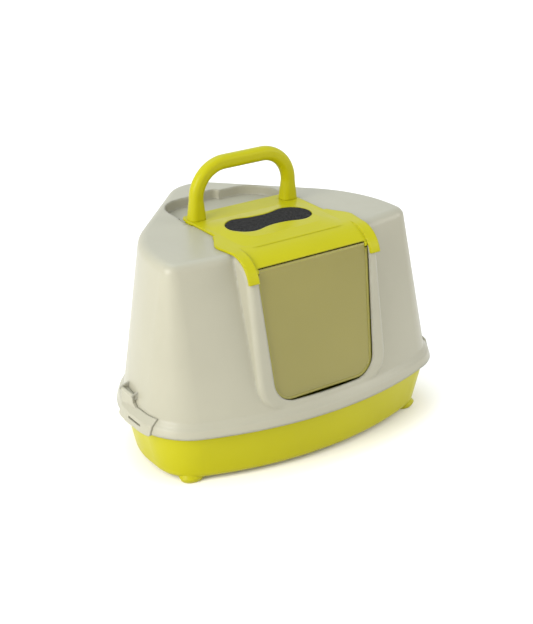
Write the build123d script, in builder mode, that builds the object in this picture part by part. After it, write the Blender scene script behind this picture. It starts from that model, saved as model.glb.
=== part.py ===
# Corner cat litter box with a hood, in millimetres.
# X is the width, the door looks along -Y, the square rear corner points along +Y, Z is up.
# The origin is the centre of the overall box, on the floor.
import os
from math import cos, radians, sin, sqrt, tan

from build123d import *

os.makedirs("parts", exist_ok=True)

# Driving dimensions
skirt_width = 524.0
depth = 442.0
wall = 3.0
foot_height = 5.0
tray_rim_z = 98.0
skirt_bottom_z = 85.0
skirt_top_z = 105.0
hood_top_z = 328.0
handle_top_z = 424.0

# Plan outline at the skirt's lower edge
bow_radius = 570.0
front_corner_radius = 88.0
side_corner_radius = 168.0
rear_corner_radius = 74.0

# How far in the outline has come at other levels
tray_floor_inset = 26.0
tray_side_lean = 3.0
tray_edge_radius = 14.0
tray_wall_inset = 9.0
tray_rim_inset = 7.5
skirt_shoulder_z = 97.0
skirt_shoulder_inset = 4.0
skirt_top_inset = 11.5

# Hood roof, as a plan outline at hood_top_z before its edge is rounded
roof_half_width = 215.0
roof_front = -136.0
roof_bow_radius = 1050.0
roof_rear = 182.0
roof_edge_radius = 15.0
roof_corner_radii = (18.0, 195.0, 62.0)

# Door surround and door opening
door_tilt = radians(10.2)
surround_half_width = 116.0
surround_arc_y = -128.5
surround_arc_z = 286.0
surround_arc_radius = 42.0
surround_bottom_z = 97.0
surround_edge_radius = 9.0
opening_top_half_width = 101.5
opening_bottom_half_width = 89.3
opening_bottom_z = 113.3
opening_corner_radius = 34.0

# Roof opening under the lid, and the pocket that takes the folded handle
hatch_half_width = 88.0
hatch_rear_half_width = 100.4
hatch_rear_start_y = 4.0
hatch_rear_y = 40.5
pocket_floor_z = 312.0
pocket_half_width = 98.5
pocket_rear_y = 118.5
pocket_corner_radius = 48.0

# Lid
hinge_y = 16.1
hinge_z = 324.0
lid_bottom_z = 328.3
lid_top_z = 332.0
lid_rear_y = 37.5
lid_rear_half_width = 98.5
lid_flare_half_width = 122.0
arm_outer = 117.0
arm_inner = 99.7
arm_tip_z = 296.0
lip_radius = 61.0
lip_arc_y = -118.0
lip_arc_z = 271.0
lip_end_z = 313.4
lip_half_width = 100.2
crown_height = 3.5
crown_slope = 30.0
hinge_pin_radius = 2.8
hinge_pin_end = 107.0
hinge_hole_radius = 2.86

# Filter, its window in the lid and its holder below
filter_lobe_radius = 30.0
filter_lobe_x = 43.0
filter_waist_half = 22.0
filter_y = -52.5
filter_top_z = 335.0
filter_thickness = 8.0

# Flap
flap_y = -160.2
flap_z = 308.5
flap_thickness = 2.6
flap_length = 198.0
flap_top_half_width = 99.0
flap_bottom_half_width = 88.1
flap_shoulder = 4.9
flap_neck_half = 94.5
flap_corner_radius = 31.0
flap_rim = 3.6
flap_rim_height = 0.8
flap_back = -0.2
flap_pin_radius = 2.0
flap_hole_radius = 2.06
cheek_inner = 95.1
cheek_outer = 99.7
cheek_radius = 4.2

# Handle
handle_x = 84.0
handle_width = 22.0
handle_depth = 19.0
handle_bend_radius = 50.0
boot_width = 28.0
boot_depth = 23.0
boot_top_z = 362.0

# Side latches
latch_front_y = -128.0
latch_rear_y = -41.0
latch_tab_front_y = -72.0
latch_axis_x = 253.0
latch_axis_z = 121.5
latch_thickness = 2.8
latch_gap = 0.6
latch_bottom_z = 82.8
latch_slot_y = -89.0
latch_slot_z = 91.5
latch_pin_radius = 1.6
latch_hole_radius = 1.66
latch_tab_half = 1.6
ear_thickness = 3.0


def plan_outline(z, inset, half_width, front, bow, rear, radii):
    """Bowed front, short sides, 45 degree backs and a rounded rear corner, moved in by inset."""
    half = half_width - inset
    front_y = front + inset
    arc = bow - inset
    front_radius = radii[0] - inset
    side_radius = radii[1] - inset
    rear_radius = radii[2] - inset
    sag = arc - sqrt(arc**2 - half**2)
    tip = rear - inset + rear_radius * (sqrt(2) - 1)
    shoulder = tip - half
    with BuildSketch(Plane.XY.offset(z)) as outline:
        with BuildLine():
            ThreePointArc((-half, front_y + sag), (0, front_y), (half, front_y + sag))
            Polyline(
                (half, front_y + sag), (half, shoulder), (0, tip), (-half, shoulder), (-half, front_y + sag)
            )
        make_face()
        fillet(outline.vertices().filter_by(lambda v: v.Y > tip - 0.1), rear_radius)
        fillet(outline.vertices().filter_by(lambda v: abs(v.Y - shoulder) < 0.1), side_radius)
        fillet(outline.vertices().filter_by(lambda v: abs(v.Y - front_y - sag) < 0.1), front_radius)
    return outline.sketch


def skirt_outline(z, inset):
    """Outline of the tray and the skirt, from the skirt's lower edge inwards."""
    radii = (front_corner_radius, side_corner_radius, rear_corner_radius)
    return plan_outline(z, inset, skirt_width / 2, -depth / 2, bow_radius, depth / 2, radii)


def tray_base_outline(z, inset):
    """Outline of the tray's floor, narrower than the skirt because the sides lean more."""
    radii = (front_corner_radius, side_corner_radius, rear_corner_radius)
    half = skirt_width / 2 - tray_side_lean
    return plan_outline(z, inset, half, -depth / 2, bow_radius, depth / 2, radii)


def roof_outline(z, inset):
    """Outline of the hood's roof."""
    return plan_outline(
        z, inset, roof_half_width, roof_front, roof_bow_radius, roof_rear, roof_corner_radii
    )


def surround_profile(inset):
    """Side view of the door surround: flat top, round brow and leaning front face."""
    radius = surround_arc_radius - inset
    brow_y = surround_arc_y - radius * cos(door_tilt)
    brow_z = surround_arc_z + radius * sin(door_tilt)
    middle = radians(45) + door_tilt / 2
    middle_y = surround_arc_y - radius * cos(middle)
    middle_z = surround_arc_z + radius * sin(middle)
    foot_z = surround_bottom_z + inset
    foot_y = brow_y - (brow_z - foot_z) * tan(door_tilt)
    with BuildSketch(Plane.YZ) as profile:
        with BuildLine():
            ThreePointArc(
                (surround_arc_y, surround_arc_z + radius), (middle_y, middle_z), (brow_y, brow_z)
            )
            Polyline(
                (brow_y, brow_z),
                (foot_y, foot_z),
                (-100, foot_z),
                (-60, surround_arc_z + radius),
                (surround_arc_y, surround_arc_z + radius),
            )
        make_face()
    return profile.sketch


def surround_block(inset):
    """The door surround as a solid, with its lower corners rounded in front view."""
    with BuildPart() as block:
        extrude(surround_profile(inset), amount=surround_half_width - inset, both=True)
        lower = block.edges().filter_by(Axis.Y).group_by(Axis.Z)[0]
        sides = lower.filter_by(lambda e: abs(e.center().X) > surround_half_width - inset - 0.1)
        if len(sides) > 0:
            fillet(sides, 46 - inset)
        side_faces = block.faces().filter_by(Axis.X)
        front_edges = side_faces.edges().filter_by(lambda e: e.center().Y < surround_arc_y - 1)
        fillet(front_edges, surround_edge_radius - inset)
    return block.part


def filter_shape(z, grow):
    """Peanut outline of the filter window: two lobes joined by a narrower waist."""
    lobe = filter_lobe_radius + grow
    waist = filter_waist_half + grow
    blend = (filter_lobe_x**2 + waist**2 - lobe**2) / (2 * (lobe - waist))
    centre = waist + blend
    touch = lobe / (lobe + blend)
    touch_x = filter_lobe_x * (1 - touch)
    touch_y = centre * touch
    with BuildSketch(Plane(origin=(0, filter_y, z))) as shape:
        with BuildLine():
            ThreePointArc((-touch_x, touch_y), (0, waist), (touch_x, touch_y))
            ThreePointArc((touch_x, touch_y), (filter_lobe_x + lobe, 0), (touch_x, -touch_y))
            ThreePointArc((touch_x, -touch_y), (0, -waist), (-touch_x, -touch_y))
            ThreePointArc((-touch_x, -touch_y), (-filter_lobe_x - lobe, 0), (-touch_x, touch_y))
        make_face()
    return shape.sketch


def pocket_outline(z, grow):
    """Plan of the handle pocket behind the lid, open towards the hatch."""
    half = pocket_half_width + grow
    rear = pocket_rear_y + grow
    front = hatch_rear_y - 3
    with BuildSketch(Plane.XY.offset(z)) as outline:
        with Locations((0, (front + rear) / 2)):
            Rectangle(2 * half, rear - front)
        fillet(outline.vertices().group_by(Axis.Y)[-1], pocket_corner_radius + grow)
    return outline.sketch


def notch_outline(z, grow):
    """Plan of the finger notch in the pocket's rear wall."""
    with BuildSketch(Plane.XY.offset(z)) as outline:
        with Locations((0, pocket_rear_y)):
            SlotOverall(46 + 2 * grow, 18 + 2 * grow)
    return outline.sketch


def across(y):
    """A section plane across the width at the given y, with Z up, looking from the door side."""
    return Plane.XZ.offset(-y)


# Tray: leaning walls, a level rim for the hood to sit on and moulded feet
feet = [(-200, -142), (200, -142), (-172, 20), (172, 20), (0, 168)]
foot_shoulder_z = 7.0
rim_bottom_z = tray_rim_z - 10
with BuildPart() as tray_space:
    floor = tray_base_outline(foot_height + wall, tray_floor_inset + wall)
    mouth = skirt_outline(tray_rim_z + 1, tray_rim_inset + 5)
    loft([floor, mouth])
    fillet(tray_space.faces().sort_by(Axis.Z)[0].edges(), tray_edge_radius - wall)

with BuildPart() as tray:
    base = tray_base_outline(foot_height, tray_floor_inset)
    loft([base, skirt_outline(rim_bottom_z, tray_wall_inset)])
    fillet(tray.faces().sort_by(Axis.Z)[0].edges(), tray_edge_radius)
    extrude(skirt_outline(rim_bottom_z, tray_rim_inset), amount=tray_rim_z - rim_bottom_z)
    for foot in feet:
        with BuildSketch(Plane.XY):
            with Locations(foot):
                Ellipse(17, 13)
        with BuildSketch(Plane.XY.offset(foot_shoulder_z)):
            with Locations(foot):
                Ellipse(20.5, 16.5)
        loft()
        with BuildSketch(Plane.XY.offset(foot_shoulder_z)):
            with Locations(foot):
                Ellipse(20.5, 16.5)
        with BuildSketch(Plane.XY.offset(foot_shoulder_z + 22)):
            with Locations((foot[0] * 0.96, foot[1] * 0.96)):
                Ellipse(12, 9)
        loft()
    add(tray_space.part, mode=Mode.SUBTRACT)
    foot_soles = tray.faces().sort_by(Axis.Z)[0 : len(feet)]
    fillet(foot_soles.edges(), 2.5)
tray.part.label = "tray"
export_step(tray.part, "parts/tray.step")


# Hood: skirt, leaning walls, rounded roof and the door surround as one moulding
with BuildPart() as hood_mass:
    skirt_top = skirt_outline(skirt_top_z, skirt_top_inset)
    shoulder_outline = skirt_outline(skirt_shoulder_z, skirt_shoulder_inset)
    loft([skirt_outline(skirt_bottom_z, 0), shoulder_outline])
    loft([shoulder_outline, skirt_top])
    loft([skirt_top, roof_outline(hood_top_z, 0)])
    fillet(hood_mass.faces().sort_by(Axis.Z)[-1].edges(), roof_edge_radius)
    add(surround_block(0))

with BuildPart() as cabin_space:
    foot_of_wall = skirt_outline(skirt_top_z - 1, skirt_top_inset + wall)
    loft([foot_of_wall, roof_outline(hood_top_z - wall, wall - 0.4)])
    fillet(cabin_space.faces().sort_by(Axis.Z)[-1].edges(), roof_edge_radius - wall)
    extrude(foot_of_wall, amount=tray_rim_z - skirt_top_z + 1)
    seat = skirt_outline(tray_rim_z, tray_rim_inset - 0.5)
    loft([skirt_outline(skirt_bottom_z, wall), seat])
    add(surround_block(wall))

with BuildPart() as pocket_tub:
    tub_floor = pocket_outline(pocket_floor_z - wall, wall)
    extrude(tub_floor, amount=hood_top_z - pocket_floor_z + wall)
    extrude(notch_outline(pocket_floor_z - wall, wall), amount=hood_top_z - pocket_floor_z + wall)
    add(hood_mass.part, mode=Mode.INTERSECT)

hinge_boss_inner_x = hatch_rear_half_width
hinge_boss_outer_x = hinge_pin_end + 4
ear_centres_y = (
    latch_rear_y + 0.3 + ear_thickness / 2,
    latch_tab_front_y - 0.3 - ear_thickness / 2,
)
with BuildPart() as hood:
    add(hood_mass.part)

    # Ears that carry the two side latches
    for side in (-1, 1):
        for ear_y in ear_centres_y:
            with BuildSketch(across(ear_y - ear_thickness / 2)):
                with BuildLine():
                    Polyline(
                        (side * (latch_axis_x - 15), latch_axis_z + 9),
                        (side * latch_axis_x, latch_axis_z + 4),
                        (side * (latch_axis_x + 4), latch_axis_z),
                        (side * latch_axis_x, latch_axis_z - 4),
                        (side * (latch_axis_x - 15), latch_axis_z - 9),
                        close=True,
                    )
                make_face()
            extrude(amount=-ear_thickness)
            with BuildSketch(across(ear_y - ear_thickness / 2)):
                with Locations((side * latch_axis_x, latch_axis_z)):
                    Circle(latch_hole_radius)
            extrude(amount=-ear_thickness, mode=Mode.SUBTRACT)

    # Hollow inside, with the pocket's tub hanging from the roof
    add(cabin_space.part, mode=Mode.SUBTRACT)
    add(pocket_tub.part)

    # Bosses that take the lid's hinge pins
    for side in (-1, 1):
        with BuildSketch(Plane.YZ.offset(side * hinge_boss_outer_x)):
            with Locations((hinge_y, hood_top_z - 8)):
                Rectangle(22, 15)
        extrude(amount=-side * (hinge_boss_outer_x - hinge_boss_inner_x))

    # Pocket for the folded handle, with a finger notch in its rear wall
    extrude(pocket_outline(pocket_floor_z, 0), amount=40, mode=Mode.SUBTRACT)
    extrude(notch_outline(pocket_floor_z, 0), amount=40, mode=Mode.SUBTRACT)

    # Hatch in the roof, wider at the rear where the lid's heel turns down into it
    with BuildSketch(Plane.XY.offset(pocket_floor_z - 20)):
        with Locations((0, (hatch_rear_start_y + hatch_rear_y) / 2)):
            Rectangle(2 * hatch_rear_half_width, hatch_rear_y - hatch_rear_start_y)
        with Locations((0, (hatch_rear_start_y + surround_arc_y) / 2)):
            Rectangle(2 * hatch_half_width, hatch_rear_start_y - surround_arc_y + 10)
    extrude(amount=60, mode=Mode.SUBTRACT)

    # Door opening through the surround, running up into the hatch
    with BuildSketch(across(lip_arc_y + 2)) as door_opening:
        with BuildLine():
            Polyline(
                (-opening_bottom_half_width, opening_bottom_z),
                (opening_bottom_half_width, opening_bottom_z),
                (opening_top_half_width, hood_top_z),
                (opening_top_half_width, hood_top_z + 10),
                (-opening_top_half_width, hood_top_z + 10),
                (-opening_top_half_width, hood_top_z),
                close=True,
            )
        make_face()
        fillet(door_opening.vertices().group_by(Axis.Y)[0], opening_corner_radius)
    extrude(amount=120, mode=Mode.SUBTRACT)

    # Sockets for the lid's hinge pins
    for side in (-1, 1):
        with BuildSketch(Plane.YZ.offset(side * hatch_half_width)):
            with Locations((hinge_y, hinge_z)):
                Circle(hinge_hole_radius)
        extrude(amount=side * (hinge_pin_end + 1 - hatch_half_width), mode=Mode.SUBTRACT)

hood.part.label = "hood"
export_step(hood.part, "parts/hood.step")


# Lid: a plate on the roof with a round brow whose two arms reach down beside the door
def brow_profile(outer_radius, inner_radius, centre_y, centre_z, end_z, rear_y):
    """Side view of a plate that runs level from rear_y and then curves down to end_z."""
    def on_arc(radius, z):
        return (centre_y - sqrt(radius**2 - (z - centre_z) ** 2), z)

    def halfway(radius, z):
        y = on_arc(radius, z)[0]
        chord_y = (centre_y + y) / 2 - centre_y
        chord_z = (radius + z - centre_z) / 2
        scale = radius / sqrt(chord_y**2 + chord_z**2)
        return (centre_y + chord_y * scale, centre_z + chord_z * scale)

    with BuildSketch(Plane.YZ) as profile:
        with BuildLine():
            Line((rear_y, centre_z + outer_radius), (centre_y, centre_z + outer_radius))
            ThreePointArc(
                (centre_y, centre_z + outer_radius), halfway(outer_radius, end_z), on_arc(outer_radius, end_z)
            )
            Line(on_arc(outer_radius, end_z), on_arc(inner_radius, end_z))
            ThreePointArc(
                on_arc(inner_radius, end_z), halfway(inner_radius, end_z), (centre_y, centre_z + inner_radius)
            )
            Line((centre_y, centre_z + inner_radius), (rear_y, centre_z + inner_radius))
            Line((rear_y, centre_z + inner_radius), (rear_y, centre_z + outer_radius))
        make_face()
    return profile.sketch


arm_outer_radius = lid_top_z - surround_arc_z
arm_inner_radius = lid_bottom_z - surround_arc_z
flare_start_y = -58.0
flare_step = 5.5
flare_end_y = -98.0
with BuildPart() as lid_plan:
    with BuildSketch(Plane.XY.offset(arm_tip_z - 20)) as plan:
        with BuildLine():
            Line((0, lid_rear_y), (lid_rear_half_width, lid_rear_y))
            Polyline(
                (lid_rear_half_width, lid_rear_y),
                (lid_rear_half_width, flare_start_y),
                (lid_rear_half_width + flare_step, flare_start_y - 1),
            )
            Spline(
                (lid_rear_half_width + flare_step, flare_start_y - 1),
                (lid_flare_half_width - 5, flare_end_y + 16),
                (lid_flare_half_width, flare_end_y),
                tangents=[(0.35, -1), (0, -1)],
            )
            Line((lid_flare_half_width, flare_end_y), (arm_outer, surround_arc_y))
            Line((arm_outer, surround_arc_y), (arm_outer, -200))
            Line((arm_outer, -200), (0, -200))
            mirror(about=Plane.YZ)
        make_face()
        fillet(plan.vertices().group_by(Axis.Y)[-1], 9)
    extrude(amount=80)

hinge_block = (16.0, 18.0, 9.0)
with BuildPart() as lid:
    arms = brow_profile(
        arm_outer_radius, arm_inner_radius, surround_arc_y, surround_arc_z, arm_tip_z, lid_rear_y
    )
    extrude(arms, amount=lid_flare_half_width + 2, both=True)
    add(lid_plan.part, mode=Mode.INTERSECT)
    with BuildSketch(Plane.XY.offset(arm_tip_z - 5)):
        with Locations((0, lip_arc_y - 50)):
            Rectangle(2 * arm_inner, 100)
    extrude(amount=60, mode=Mode.SUBTRACT)
    lip = brow_profile(
        lip_radius, lip_radius - lid_top_z + lid_bottom_z, lip_arc_y, lip_arc_z, lip_end_z, lip_arc_y + 8
    )
    extrude(lip, amount=lip_half_width, both=True)

    # Raised crown around the filter window
    for level, inset in ((lid_top_z - 0.5, 4), (lid_top_z + crown_height, crown_slope)):
        with BuildSketch(Plane.XY.offset(level)):
            with Locations((0, (lip_arc_y - 10) / 2)):
                RectangleRounded(2 * (lid_rear_half_width - inset), 20 - lip_arc_y - 2 * inset, 24)
    loft()
    extrude(filter_shape(lid_bottom_z - 2, 0), amount=20, mode=Mode.SUBTRACT)

    # Cheeks at both ends of the lip, with the sockets for the flap's pins
    for side in (-1, 1):
        with BuildSketch(Plane.YZ.offset(side * cheek_inner)):
            with Locations((flap_y, flap_z)):
                Circle(cheek_radius)
            with BuildLine():
                Polyline(
                    (flap_y - 3.2, flap_z + 2.7),
                    (flap_y + 4.0, flap_z + 0.9),
                    (flap_y + 12, flap_z + 12.5),
                    (flap_y + 3, flap_z + 8.5),
                    close=True,
                )
            make_face()
        extrude(amount=side * (cheek_outer - cheek_inner))
        with BuildSketch(Plane.YZ.offset(side * (cheek_inner - 1))):
            with Locations((flap_y, flap_z)):
                Circle(flap_hole_radius)
        extrude(amount=side * (cheek_outer - cheek_inner + 1), mode=Mode.SUBTRACT)

    # Blocks under the rear corners: they hold the handle's spigots and the hinge pins
    for side in (-1, 1):
        with BuildSketch(Plane.XY.offset(lid_bottom_z - hinge_block[2])):
            with Locations((side * (lid_rear_half_width - hinge_block[0] + 1), hinge_y)):
                Rectangle(2 * hinge_block[0] - 2, hinge_block[1])
        extrude(amount=hinge_block[2] + 1)
        with BuildSketch(Plane.YZ.offset(side * (lid_rear_half_width - 2))):
            with Locations((hinge_y, hinge_z)):
                Circle(hinge_pin_radius)
        extrude(amount=side * (hinge_pin_end - lid_rear_half_width + 2))
        with BuildSketch(Plane.XY.offset(lid_bottom_z - hinge_block[2] + 1)):
            with Locations((side * handle_x, hinge_y)):
                Circle(7.05)
        extrude(amount=20, mode=Mode.SUBTRACT)
lid.part.label = "lid"
export_step(lid.part, "parts/lid.step")


# Handle: a bail whose two flared feet stand on the lid's rear corners
handle_axis_z = handle_top_z - 11.0
with BuildPart() as handle:
    with BuildLine() as bail:
        FilletPolyline(
            (-handle_x, hinge_y, boot_top_z - 4),
            (-handle_x, hinge_y, handle_axis_z),
            (handle_x, hinge_y, handle_axis_z),
            (handle_x, hinge_y, boot_top_z - 4),
            radius=handle_bend_radius,
        )
    with BuildSketch(Plane(origin=bail.line @ 0, x_dir=(1, 0, 0), z_dir=bail.line % 0)):
        RectangleRounded(handle_width, handle_depth, 8.5)
    sweep(path=bail.line)
    for side in (-1, 1):
        with BuildSketch(Plane.XY.offset(lid_top_z)):
            with Locations((side * handle_x, hinge_y)):
                RectangleRounded(boot_width, boot_depth, 9)
        with BuildSketch(Plane.XY.offset(boot_top_z)):
            with Locations((side * handle_x, hinge_y)):
                RectangleRounded(handle_width, handle_depth, 8.5)
        loft()
        with BuildSketch(Plane.XY.offset(lid_bottom_z - hinge_block[2] + 1.5)):
            with Locations((side * handle_x, hinge_y)):
                Circle(7)
        extrude(amount=lid_top_z - lid_bottom_z + hinge_block[2])
handle.part.label = "handle"
export_step(handle.part, "parts/handle.step")


# Flap: a thin clear panel with a raised rim, hanging on two short pins
flap_plane = Plane(
    origin=(0, flap_y, flap_z), x_dir=(1, 0, 0), z_dir=(0, -cos(door_tilt), sin(door_tilt))
)


def flap_outline(offset_out, inset, top):
    """Flap outline in its own plane, with round lower corners."""
    with BuildSketch(flap_plane.offset(offset_out)) as outline:
        with BuildLine():
            Polyline(
                (-flap_bottom_half_width + inset, inset - flap_length),
                (flap_bottom_half_width - inset, inset - flap_length),
                (flap_top_half_width - inset, top),
                (-flap_top_half_width + inset, top),
                close=True,
            )
        make_face()
        fillet(outline.vertices().group_by(Axis.Y)[0], flap_corner_radius - inset)
    return outline.sketch


with BuildPart() as flap:
    extrude(flap_outline(flap_back, 0, -flap_shoulder), amount=flap_thickness + flap_rim_height)
    extrude(flap_outline(flap_back + flap_thickness, flap_rim, 0), amount=5, mode=Mode.SUBTRACT)
    with BuildSketch(flap_plane.offset(flap_back)):
        with Locations((0, -7.2)):
            Rectangle(2 * flap_neck_half, 19.6)
    extrude(amount=flap_thickness)
    with BuildSketch(Plane.YZ.offset(-flap_neck_half)):
        with Locations((flap_y, flap_z)):
            Circle(2.9)
    extrude(amount=2 * flap_neck_half)
    flap_pin_end = cheek_outer - 0.6
    with BuildSketch(Plane.YZ.offset(-flap_pin_end)):
        with Locations((flap_y, flap_z)):
            Circle(flap_pin_radius)
    extrude(amount=2 * flap_pin_end)
flap.part.label = "flap"
export_step(flap.part, "parts/flap.step")


# Filter: a dark pad that fills the window, and the cup that holds it under the lid
holder_floor_z = 319.6
pad_base_z = holder_floor_z + 2.4
with BuildPart() as filter_pad:
    extrude(filter_shape(pad_base_z, 4), amount=lid_bottom_z - 0.3 - pad_base_z)
    extrude(filter_shape(pad_base_z, -0.5), amount=filter_top_z - pad_base_z)
    fillet(filter_pad.faces().sort_by(Axis.Z)[-1].edges(), 1.2)
filter_pad.part.label = "filter_pad"
export_step(filter_pad.part, "parts/filter_pad.step")

with BuildPart() as filter_holder:
    extrude(filter_shape(holder_floor_z, 7), amount=lid_bottom_z - holder_floor_z)
    extrude(filter_shape(pad_base_z, 4.6), amount=20, mode=Mode.SUBTRACT)
    with BuildSketch(Plane.XY.offset(holder_floor_z - 1)):
        with Locations((0, filter_y)):
            with GridLocations(15.5, 1, 7, 1):
                SlotOverall(28, 7, rotation=90)
    extrude(amount=5, mode=Mode.SUBTRACT)
filter_holder.part.label = "filter_holder"
export_step(filter_holder.part, "parts/filter_holder.step")


# Side latches: a band that hugs the skirt, with a raised rear tab that hangs on two pins
latch_reach = latch_gap + latch_thickness
with BuildPart() as latch_clearance:
    clear_low = skirt_outline(skirt_bottom_z - 0.6, -latch_gap)
    clear_middle = skirt_outline(skirt_shoulder_z, skirt_shoulder_inset - latch_gap)
    clear_top = skirt_outline(skirt_top_z, skirt_top_inset - latch_gap)
    loft([clear_low, clear_middle])
    loft([clear_middle, clear_top])
    loft([clear_top, roof_outline(hood_top_z, -latch_gap)])
    extrude(skirt_outline(latch_bottom_z - 1, 1), amount=4)

with BuildPart() as latch_right:
    band_low = skirt_outline(skirt_bottom_z, -latch_reach)
    band_middle = skirt_outline(skirt_shoulder_z + 0.8, skirt_shoulder_inset - latch_reach)
    band_top = skirt_outline(skirt_top_z + 2, skirt_top_inset - latch_reach + 0.8)
    extrude(skirt_outline(latch_bottom_z, -latch_reach), amount=skirt_bottom_z - latch_bottom_z)
    loft([band_low, band_middle])
    loft([band_middle, band_top])
    with BuildSketch(Plane.YZ.offset(skirt_width / 2 - 30)):
        with Locations(((latch_front_y + latch_rear_y) / 2, skirt_shoulder_z - 1)):
            RectangleRounded(latch_rear_y - latch_front_y, 28, 4)
    extrude(amount=60, mode=Mode.INTERSECT)

    # Tab, with its front side sloping down to the band
    with BuildSketch(Plane.YZ.offset(latch_axis_x + latch_tab_half)):
        with BuildLine():
            Polyline(
                (latch_rear_y, skirt_shoulder_z),
                (latch_rear_y, latch_axis_z),
                (latch_tab_front_y, latch_axis_z),
                (latch_tab_front_y, latch_axis_z - 10),
                (latch_tab_front_y - 14, skirt_shoulder_z + 6),
                (latch_tab_front_y - 14, skirt_shoulder_z),
                close=True,
            )
        make_face()
    extrude(amount=-10)
    with BuildSketch(across(latch_rear_y)):
        with Locations((latch_axis_x, latch_axis_z)):
            Circle(3)
    extrude(amount=latch_rear_y - latch_tab_front_y)
    add(latch_clearance.part, mode=Mode.SUBTRACT)

    # Pins and finger slot
    with BuildSketch(across(latch_rear_y + ear_thickness - 0.6)):
        with Locations((latch_axis_x, latch_axis_z)):
            Circle(latch_pin_radius)
    extrude(amount=latch_rear_y - latch_tab_front_y + 2 * ear_thickness - 1.2)
    with BuildSketch(Plane.YZ.offset(skirt_width / 2 - 4)):
        with Locations((latch_slot_y, latch_slot_z)):
            SlotOverall(34, 3)
    extrude(amount=12, mode=Mode.SUBTRACT)
latch_right.part.label = "latch_right"
export_step(latch_right.part, "parts/latch_right.step")

with BuildPart() as latch_left:
    mirror(latch_right.part, about=Plane.YZ)
latch_left.part.label = "latch_left"
export_step(latch_left.part, "parts/latch_left.step")
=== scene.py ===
import math

import bmesh
import bpy
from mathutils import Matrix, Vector, noise


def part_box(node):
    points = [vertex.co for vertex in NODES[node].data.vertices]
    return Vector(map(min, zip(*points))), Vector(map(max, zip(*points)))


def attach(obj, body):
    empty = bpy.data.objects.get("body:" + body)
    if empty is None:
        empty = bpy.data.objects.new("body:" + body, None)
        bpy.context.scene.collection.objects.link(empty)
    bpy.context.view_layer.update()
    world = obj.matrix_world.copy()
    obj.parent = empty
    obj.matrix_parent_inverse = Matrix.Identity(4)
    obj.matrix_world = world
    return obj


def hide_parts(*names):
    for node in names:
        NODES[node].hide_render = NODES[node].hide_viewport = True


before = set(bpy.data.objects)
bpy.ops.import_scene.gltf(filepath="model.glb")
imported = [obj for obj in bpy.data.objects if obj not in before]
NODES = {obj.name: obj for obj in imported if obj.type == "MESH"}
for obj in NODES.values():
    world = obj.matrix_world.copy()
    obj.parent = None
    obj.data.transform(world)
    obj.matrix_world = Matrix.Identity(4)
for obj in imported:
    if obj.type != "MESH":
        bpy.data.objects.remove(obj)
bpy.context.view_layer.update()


# ---------------------------------------------------------------- camera
AZIMUTH = math.radians(-35.0)
ELEVATION = math.radians(24.0)
DISTANCE = 2.131
AIM = Vector((0.0, -0.0465, 0.1812))
FOCAL_IN_HEIGHTS = 2.2192
SENSOR = 36.0
VIEW_DEPTH = 50.0


def add_camera():
    """The camera stands to the left of the door and looks down a little."""
    back = Vector(
        (
            math.sin(AZIMUTH) * math.cos(ELEVATION),
            -math.cos(AZIMUTH) * math.cos(ELEVATION),
            math.sin(ELEVATION),
        )
    )
    data = bpy.data.cameras.new("camera")
    data.sensor_fit = "AUTO"
    data.sensor_width = SENSOR
    data.lens = FOCAL_IN_HEIGHTS * SENSOR
    data.clip_end = VIEW_DEPTH
    camera = bpy.data.objects.new("camera", data)
    bpy.context.scene.collection.objects.link(camera)
    camera.location = AIM + back * DISTANCE
    camera.rotation_euler = back.to_track_quat("Z", "Y").to_euler()
    bpy.context.scene.camera = camera


# ---------------------------------------------------------------- light and floor
LIT_POINT = (0.0, 0.0, 0.18)
SKY_STRENGTH = 1.1
HORIZON = (1.0, 0.985, 0.94, 1.0)
ZENITH = (0.93, 0.965, 1.04, 1.0)
# Name, place, size, watts and colour: a warm key on the left, a cool top and a warm fill on the right
LIGHTS = (
    ("key", (-2.6, -0.5, 1.45), (1.5, 1.8), 84.0, (1.0, 0.98, 0.93)),
    ("top", (0.1, 0.7, 2.6), (1.8, 1.8), 18.0, (0.62, 0.83, 1.0)),
    ("fill", (2.3, -1.8, 1.3), (1.6, 1.2), 24.0, (1.0, 0.96, 0.9)),
)
FLOOR_HALF = 14.0
FLOOR_LOW = (0.925, 0.905, 0.87)
FLOOR_HIGH = (0.945, 0.925, 0.89)


def add_area(name, place, size, power, colour):
    """An area light that faces the object."""
    data = bpy.data.lights.new(name, "AREA")
    data.shape = "RECTANGLE"
    data.size, data.size_y = size
    data.energy = power
    data.color = colour
    lamp = bpy.data.objects.new(name, data)
    lamp.location = place
    lamp.rotation_euler = (Vector(place) - Vector(LIT_POINT)).to_track_quat("Z", "Y").to_euler()
    bpy.context.scene.collection.objects.link(lamp)


def add_studio():
    """A bright sky that turns cooler towards the top, and the area lights."""
    bpy.context.scene.view_settings.view_transform = "Standard"
    world = bpy.data.worlds.new("studio")
    world.use_nodes = True
    tree = world.node_tree
    sky = tree.nodes["Background"]
    sky.inputs["Strength"].default_value = SKY_STRENGTH
    split = tree.nodes.new("ShaderNodeSeparateXYZ")
    tree.links.new(tree.nodes.new("ShaderNodeTexCoord").outputs["Generated"], split.inputs[0])
    blend = tree.nodes.new("ShaderNodeMix")
    blend.data_type = "RGBA"
    blend.inputs[6].default_value = HORIZON
    blend.inputs[7].default_value = ZENITH
    tree.links.new(split.outputs["Z"], blend.inputs[0])
    tree.links.new(blend.outputs[2], sky.inputs["Color"])
    bpy.context.scene.world = world
    for light in LIGHTS:
        add_area(*light)


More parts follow.
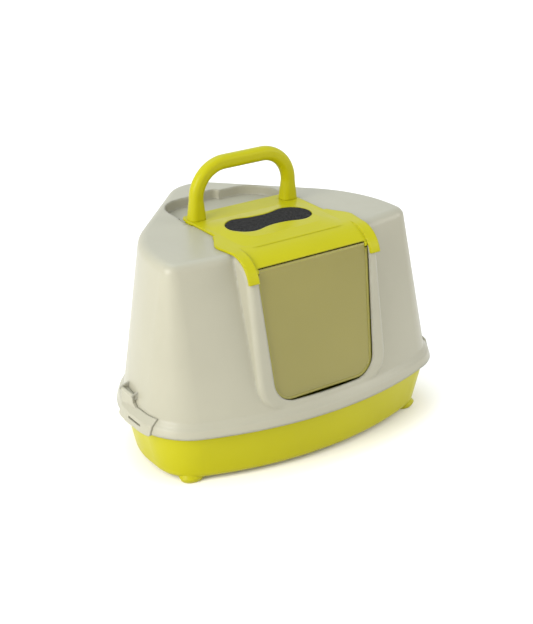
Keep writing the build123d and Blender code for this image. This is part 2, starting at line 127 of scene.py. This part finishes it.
# ---------------------------------------------------------------- node helpers
class Shader:
    """A material's node tree, with short calls for adding and joining nodes."""

    def __init__(self, name):
        self.material = bpy.data.materials.new(name)
        self.material.use_nodes = True
        self.tree = self.material.node_tree
        self.surface = self.tree.nodes["Principled BSDF"]
        self.place = self.add("ShaderNodeTexCoord").outputs["Object"]

    def add(self, kind, **settings):
        node = self.tree.nodes.new(kind)
        for key, value in settings.items():
            setattr(node, key, value)
        return node

    def join(self, source, target):
        self.tree.links.new(source, target)

    def noise(self, scale, detail=3.0, stretch=None, roughness=0.5):
        """Noise over the object's own coordinates, in metres; stretch scales each axis."""
        texture = self.add("ShaderNodeTexNoise")
        texture.inputs["Scale"].default_value = scale
        texture.inputs["Detail"].default_value = detail
        texture.inputs["Roughness"].default_value = roughness
        where = self.place
        if stretch:
            mapping = self.add("ShaderNodeMapping")
            mapping.inputs["Scale"].default_value = stretch
            self.join(where, mapping.inputs["Vector"])
            where = mapping.outputs["Vector"]
        self.join(where, texture.inputs["Vector"])
        return texture.outputs["Fac"]

    def spread(self, value, low, high, start=0.3, end=0.7):
        """Maps a value from start..end to low..high."""
        node = self.add("ShaderNodeMapRange")
        node.inputs["From Min"].default_value = start
        node.inputs["From Max"].default_value = end
        node.inputs["To Min"].default_value = low
        node.inputs["To Max"].default_value = high
        self.join(value, node.inputs["Value"])
        return node.outputs["Result"]

    def maths(self, operation, first, second):
        node = self.add("ShaderNodeMath", operation=operation)
        for socket, value in zip(node.inputs, (first, second)):
            if isinstance(value, float):
                socket.default_value = value
            else:
                self.join(value, socket)
        return node.outputs[0]

    def blend(self, factor, first, second):
        """Mixes two colours, each a linear RGB triple or a socket."""
        node = self.add("ShaderNodeMix", data_type="RGBA")
        self.join(factor, node.inputs[0])
        for socket, value in ((node.inputs[6], first), (node.inputs[7], second)):
            if isinstance(value, tuple):
                socket.default_value = (*value, 1.0)
            else:
                self.join(value, socket)
        return node.outputs[2]

    def bump(self, height, strength, distance, normal=None):
        node = self.add("ShaderNodeBump")
        node.inputs["Strength"].default_value = strength
        node.inputs["Distance"].default_value = distance
        self.join(height, node.inputs["Height"])
        if normal:
            self.join(normal, node.inputs["Normal"])
        return node.outputs["Normal"]

    def rounded(self, radius):
        """The normal with sharp edges softened over a radius in metres."""
        node = self.add("ShaderNodeBevel", samples=6)
        node.inputs["Radius"].default_value = radius
        return node.outputs["Normal"]

    def edges(self, rounded_normal):
        """0 on flat faces, rising to 1 on edges."""
        facing = self.add("ShaderNodeVectorMath", operation="DOT_PRODUCT")
        self.join(self.add("ShaderNodeNewGeometry").outputs["Normal"], facing.inputs[0])
        self.join(rounded_normal, facing.inputs[1])
        return self.spread(facing.outputs["Value"], 1.0, 0.0, 0.8, 0.985)


def tint(colour, gain):
    """The colour made lighter or darker."""
    return tuple(min(1.0, channel * gain) for channel in colour)


# Noise scales of the plastic, in cycles per metre, from the cloudy colour to the pebbled skin
CLOUD_SCALE = 7.0
WAVE_SCALE = 14.0
FLOW_SCALE = 22.0
SCUFF_SCALE = 160.0
PEBBLE_SCALE = 1100.0
PEBBLE_HEIGHT = 0.00012
WAVE_HEIGHT = 0.0012
MOST_WEAR = 0.45


def moulded_plastic(name, colour, worn, roughness, edge_radius, shine=0.5):
    """Satin moulded plastic: faint cloudy colour, fine pebbled skin, rubbed edges."""
    shader = Shader(name)
    cloud = shader.spread(shader.noise(CLOUD_SCALE, 4.0), 0.0, 1.0)
    flow = shader.spread(shader.noise(FLOW_SCALE, 3.0, (1.0, 1.0, 0.25)), 0.0, 1.0)
    base = shader.blend(cloud, tint(colour, 0.965), tint(colour, 1.03))
    soft = shader.rounded(edge_radius)
    scuffs = shader.spread(shader.noise(SCUFF_SCALE, 5.0), 0.0, 1.0, 0.42, 0.62)
    wear = shader.maths("MULTIPLY", shader.edges(soft), scuffs)
    wear = shader.maths("MULTIPLY", wear, MOST_WEAR)
    shader.join(shader.blend(wear, base, worn), shader.surface.inputs["Base Color"])
    gloss = shader.spread(flow, roughness - 0.035, roughness + 0.045, 0.0, 1.0)
    gloss = shader.maths("ADD", gloss, shader.maths("MULTIPLY", wear, 0.25))
    shader.join(gloss, shader.surface.inputs["Roughness"])
    skin = shader.bump(shader.noise(PEBBLE_SCALE, 2.0), 0.16, PEBBLE_HEIGHT, soft)
    waves = shader.bump(shader.noise(WAVE_SCALE, 1.5), 0.22, WAVE_HEIGHT, skin)
    shader.join(waves, shader.surface.inputs["Normal"])
    shader.surface.inputs["Specular IOR Level"].default_value = shine
    return shader.material


def floor_material():
    """Plain, pale and matt."""
    shader = Shader("floor")
    cloud = shader.spread(shader.noise(3.0, 2.0), 0.0, 1.0)
    base = shader.blend(cloud, FLOOR_LOW, FLOOR_HIGH)
    shader.join(base, shader.surface.inputs["Base Color"])
    shader.surface.inputs["Roughness"].default_value = 0.95
    shader.surface.inputs["Specular IOR Level"].default_value = 0.1
    return shader.material


def add_floor():
    mesh = bpy.data.meshes.new("floor")
    corners = [(x * FLOOR_HALF, y * FLOOR_HALF, 0) for x, y in ((-1, -1), (1, -1), (1, 1), (-1, 1))]
    mesh.from_pydata(corners, [], [(0, 1, 2, 3)])
    floor = bpy.data.objects.new("floor", mesh)
    bpy.context.scene.collection.objects.link(floor)
    mesh.materials.append(floor_material())


# ---------------------------------------------------------------- the object's own materials
YELLOW = (0.353, 0.332, 0.003)
YELLOW_WORN = (0.44, 0.42, 0.05)
GREY = (0.307, 0.296, 0.226)
GREY_WORN = (0.40, 0.395, 0.34)
OLIVE = (0.25, 0.222, 0.062)
OLIVE_RIM = (0.29, 0.265, 0.05)
CHARCOAL = (0.017, 0.0165, 0.016)
BLACK = (0.03, 0.03, 0.032)
BLACK_WORN = (0.08, 0.08, 0.085)
DOOR_TILT = math.radians(10.2)
RIM_BAND = 0.0008


def flap_material():
    """Tinted see-through plastic, a little lighter in its raised border."""
    shader = Shader("clear_flap")
    outward = Vector((0.0, -math.cos(DOOR_TILT), math.sin(DOOR_TILT)))
    low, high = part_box("flap")
    panel_top = low[2] + 0.8 * (high[2] - low[2])
    panel = [vert.co for vert in NODES["flap"].data.vertices if vert.co.z < panel_top]
    rim_level = max(point.dot(outward) for point in panel) - RIM_BAND / 4
    along = shader.add("ShaderNodeVectorMath", operation="DOT_PRODUCT")
    shader.join(shader.place, along.inputs[0])
    along.inputs[1].default_value = outward
    border = shader.spread(along.outputs["Value"], 0.0, 1.0, rim_level - RIM_BAND, rim_level)
    cloud = shader.spread(shader.noise(6.0, 3.0), 0.0, 1.0)
    plain = shader.blend(cloud, tint(OLIVE, 0.95), tint(OLIVE, 1.05))
    base = shader.blend(border, plain, OLIVE_RIM)
    shader.join(base, shader.surface.inputs["Base Color"])
    gloss = shader.spread(shader.noise(60.0, 4.0), 0.16, 0.26)
    shader.join(gloss, shader.surface.inputs["Roughness"])
    soft = shader.rounded(0.0006)
    ripple = shader.bump(shader.noise(18.0, 1.5), 0.25, 0.0010, soft)
    shader.join(ripple, shader.surface.inputs["Normal"])
    shader.surface.inputs["Transmission Weight"].default_value = 0.22
    shader.surface.inputs["IOR"].default_value = 1.46
    return shader.material


FIBRE_SCALE = 900.0
PORE_SCALE = 420.0


def fleece_material():
    """Charcoal filter fleece: matted fibres in all directions with pores; painted light makes the
    raised fibres lighter and painted shade makes the pores darker.
    """
    shader = Shader("filter_foam")
    long = shader.noise(FIBRE_SCALE, 4.0, (1.0, 0.18, 1.0), 0.65)
    cross = shader.noise(FIBRE_SCALE, 4.0, (0.18, 1.0, 1.0), 0.65)
    fibre = shader.maths("MAXIMUM", long, cross)
    # The pore mask also sets roughness and bump height; where it darkens the colour in the pores,
    # that is painted shade.
    pores = shader.spread(shader.noise(PORE_SCALE, 3.0), 0.0, 1.0, 0.38, 0.6)
    # Painted light: the raised fibres get a lighter charcoal than the gaps between them.
    lit = shader.blend(shader.spread(fibre, 0.0, 1.0, 0.45, 0.72), CHARCOAL, tint(CHARCOAL, 2.6))
    base = shader.blend(pores, tint(CHARCOAL, 0.55), lit)
    shader.join(base, shader.surface.inputs["Base Color"])
    shader.join(shader.spread(pores, 0.98, 0.82, 0.0, 1.0), shader.surface.inputs["Roughness"])
    height = shader.maths("ADD", fibre, shader.maths("MULTIPLY", pores, 0.6))
    shader.join(shader.bump(height, 0.7, 0.0006), shader.surface.inputs["Normal"])
    shader.surface.inputs["Specular IOR Level"].default_value = 0.12
    return shader.material


def dress(node, material):
    """Gives a carried-over CAD node its material."""
    obj = NODES[node]
    obj.data.materials.clear()
    obj.data.materials.append(material)


# ---------------------------------------------------------------- filter pad
PAD_VOXEL = 0.0012
PAD_TOP_BAND = 0.003
PAD_CROWN = 0.0007
TUFT_HEIGHT = 0.00022
TUFT_FINE = 330.0
TUFT_COARSE = 90.0


def make_filter_pad(material):
    """A soft fleece pad in the lid's window, a little crowned, with a fibrous skin."""
    low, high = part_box("filter_pad")
    mesh = NODES["filter_pad"].data.copy()
    mesh.name = "filter_fleece"
    pad = bpy.data.objects.new("filter_fleece", mesh)
    bpy.context.scene.collection.objects.link(pad)
    remesh = pad.modifiers.new("remesh", "REMESH")
    remesh.mode = "VOXEL"
    remesh.voxel_size = PAD_VOXEL
    bpy.context.view_layer.update()
    shaped = pad.evaluated_get(bpy.context.evaluated_depsgraph_get())
    solid = bpy.data.meshes.new_from_object(shaped)
    pad.modifiers.clear()
    pad.data = solid
    form = bmesh.new()
    form.from_mesh(solid)
    bmesh.ops.smooth_vert(
        form, verts=form.verts, factor=0.5, use_axis_x=True, use_axis_y=True, use_axis_z=True
    )
    form.normal_update()
    middle = Vector(((low[0] + high[0]) / 2, (low[1] + high[1]) / 2, 0.0))
    half_x = (high[0] - low[0]) / 2
    half_y = (high[1] - low[1]) / 2
    for vert in form.verts:
        if vert.co.z > high[2] - PAD_TOP_BAND:
            across = ((vert.co.x - middle.x) / half_x) ** 2 + ((vert.co.y - middle.y) / half_y) ** 2
            vert.co.z += PAD_CROWN * max(0.0, 1.0 - across)
            tuft = noise.noise(vert.co * TUFT_FINE) * 0.6 + noise.noise(vert.co * TUFT_COARSE)
            vert.co += vert.normal * TUFT_HEIGHT * tuft
    form.to_mesh(solid)
    form.free()
    solid.materials.clear()
    solid.materials.append(material)
    for polygon in solid.polygons:
        polygon.use_smooth = True
    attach(pad, "lid")
    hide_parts("filter_pad")


# ---------------------------------------------------------------- the scene
add_camera()
add_studio()
add_floor()
yellow = moulded_plastic("yellow_plastic", YELLOW, YELLOW_WORN, 0.33, 0.003, 0.15)
grey = moulded_plastic("grey_plastic", GREY, GREY_WORN, 0.34, 0.006, 0.4)
clip_grey = moulded_plastic("latch_plastic", GREY, GREY_WORN, 0.34, 0.0015, 0.4)
for node in ("tray", "lid", "handle"):
    dress(node, yellow)
dress("hood", grey)
for node in ("latch_left", "latch_right"):
    dress(node, clip_grey)
dress("flap", flap_material())
dress("filter_holder", moulded_plastic("dark_plastic", BLACK, BLACK_WORN, 0.45, 0.0006))
make_filter_pad(fleece_material())
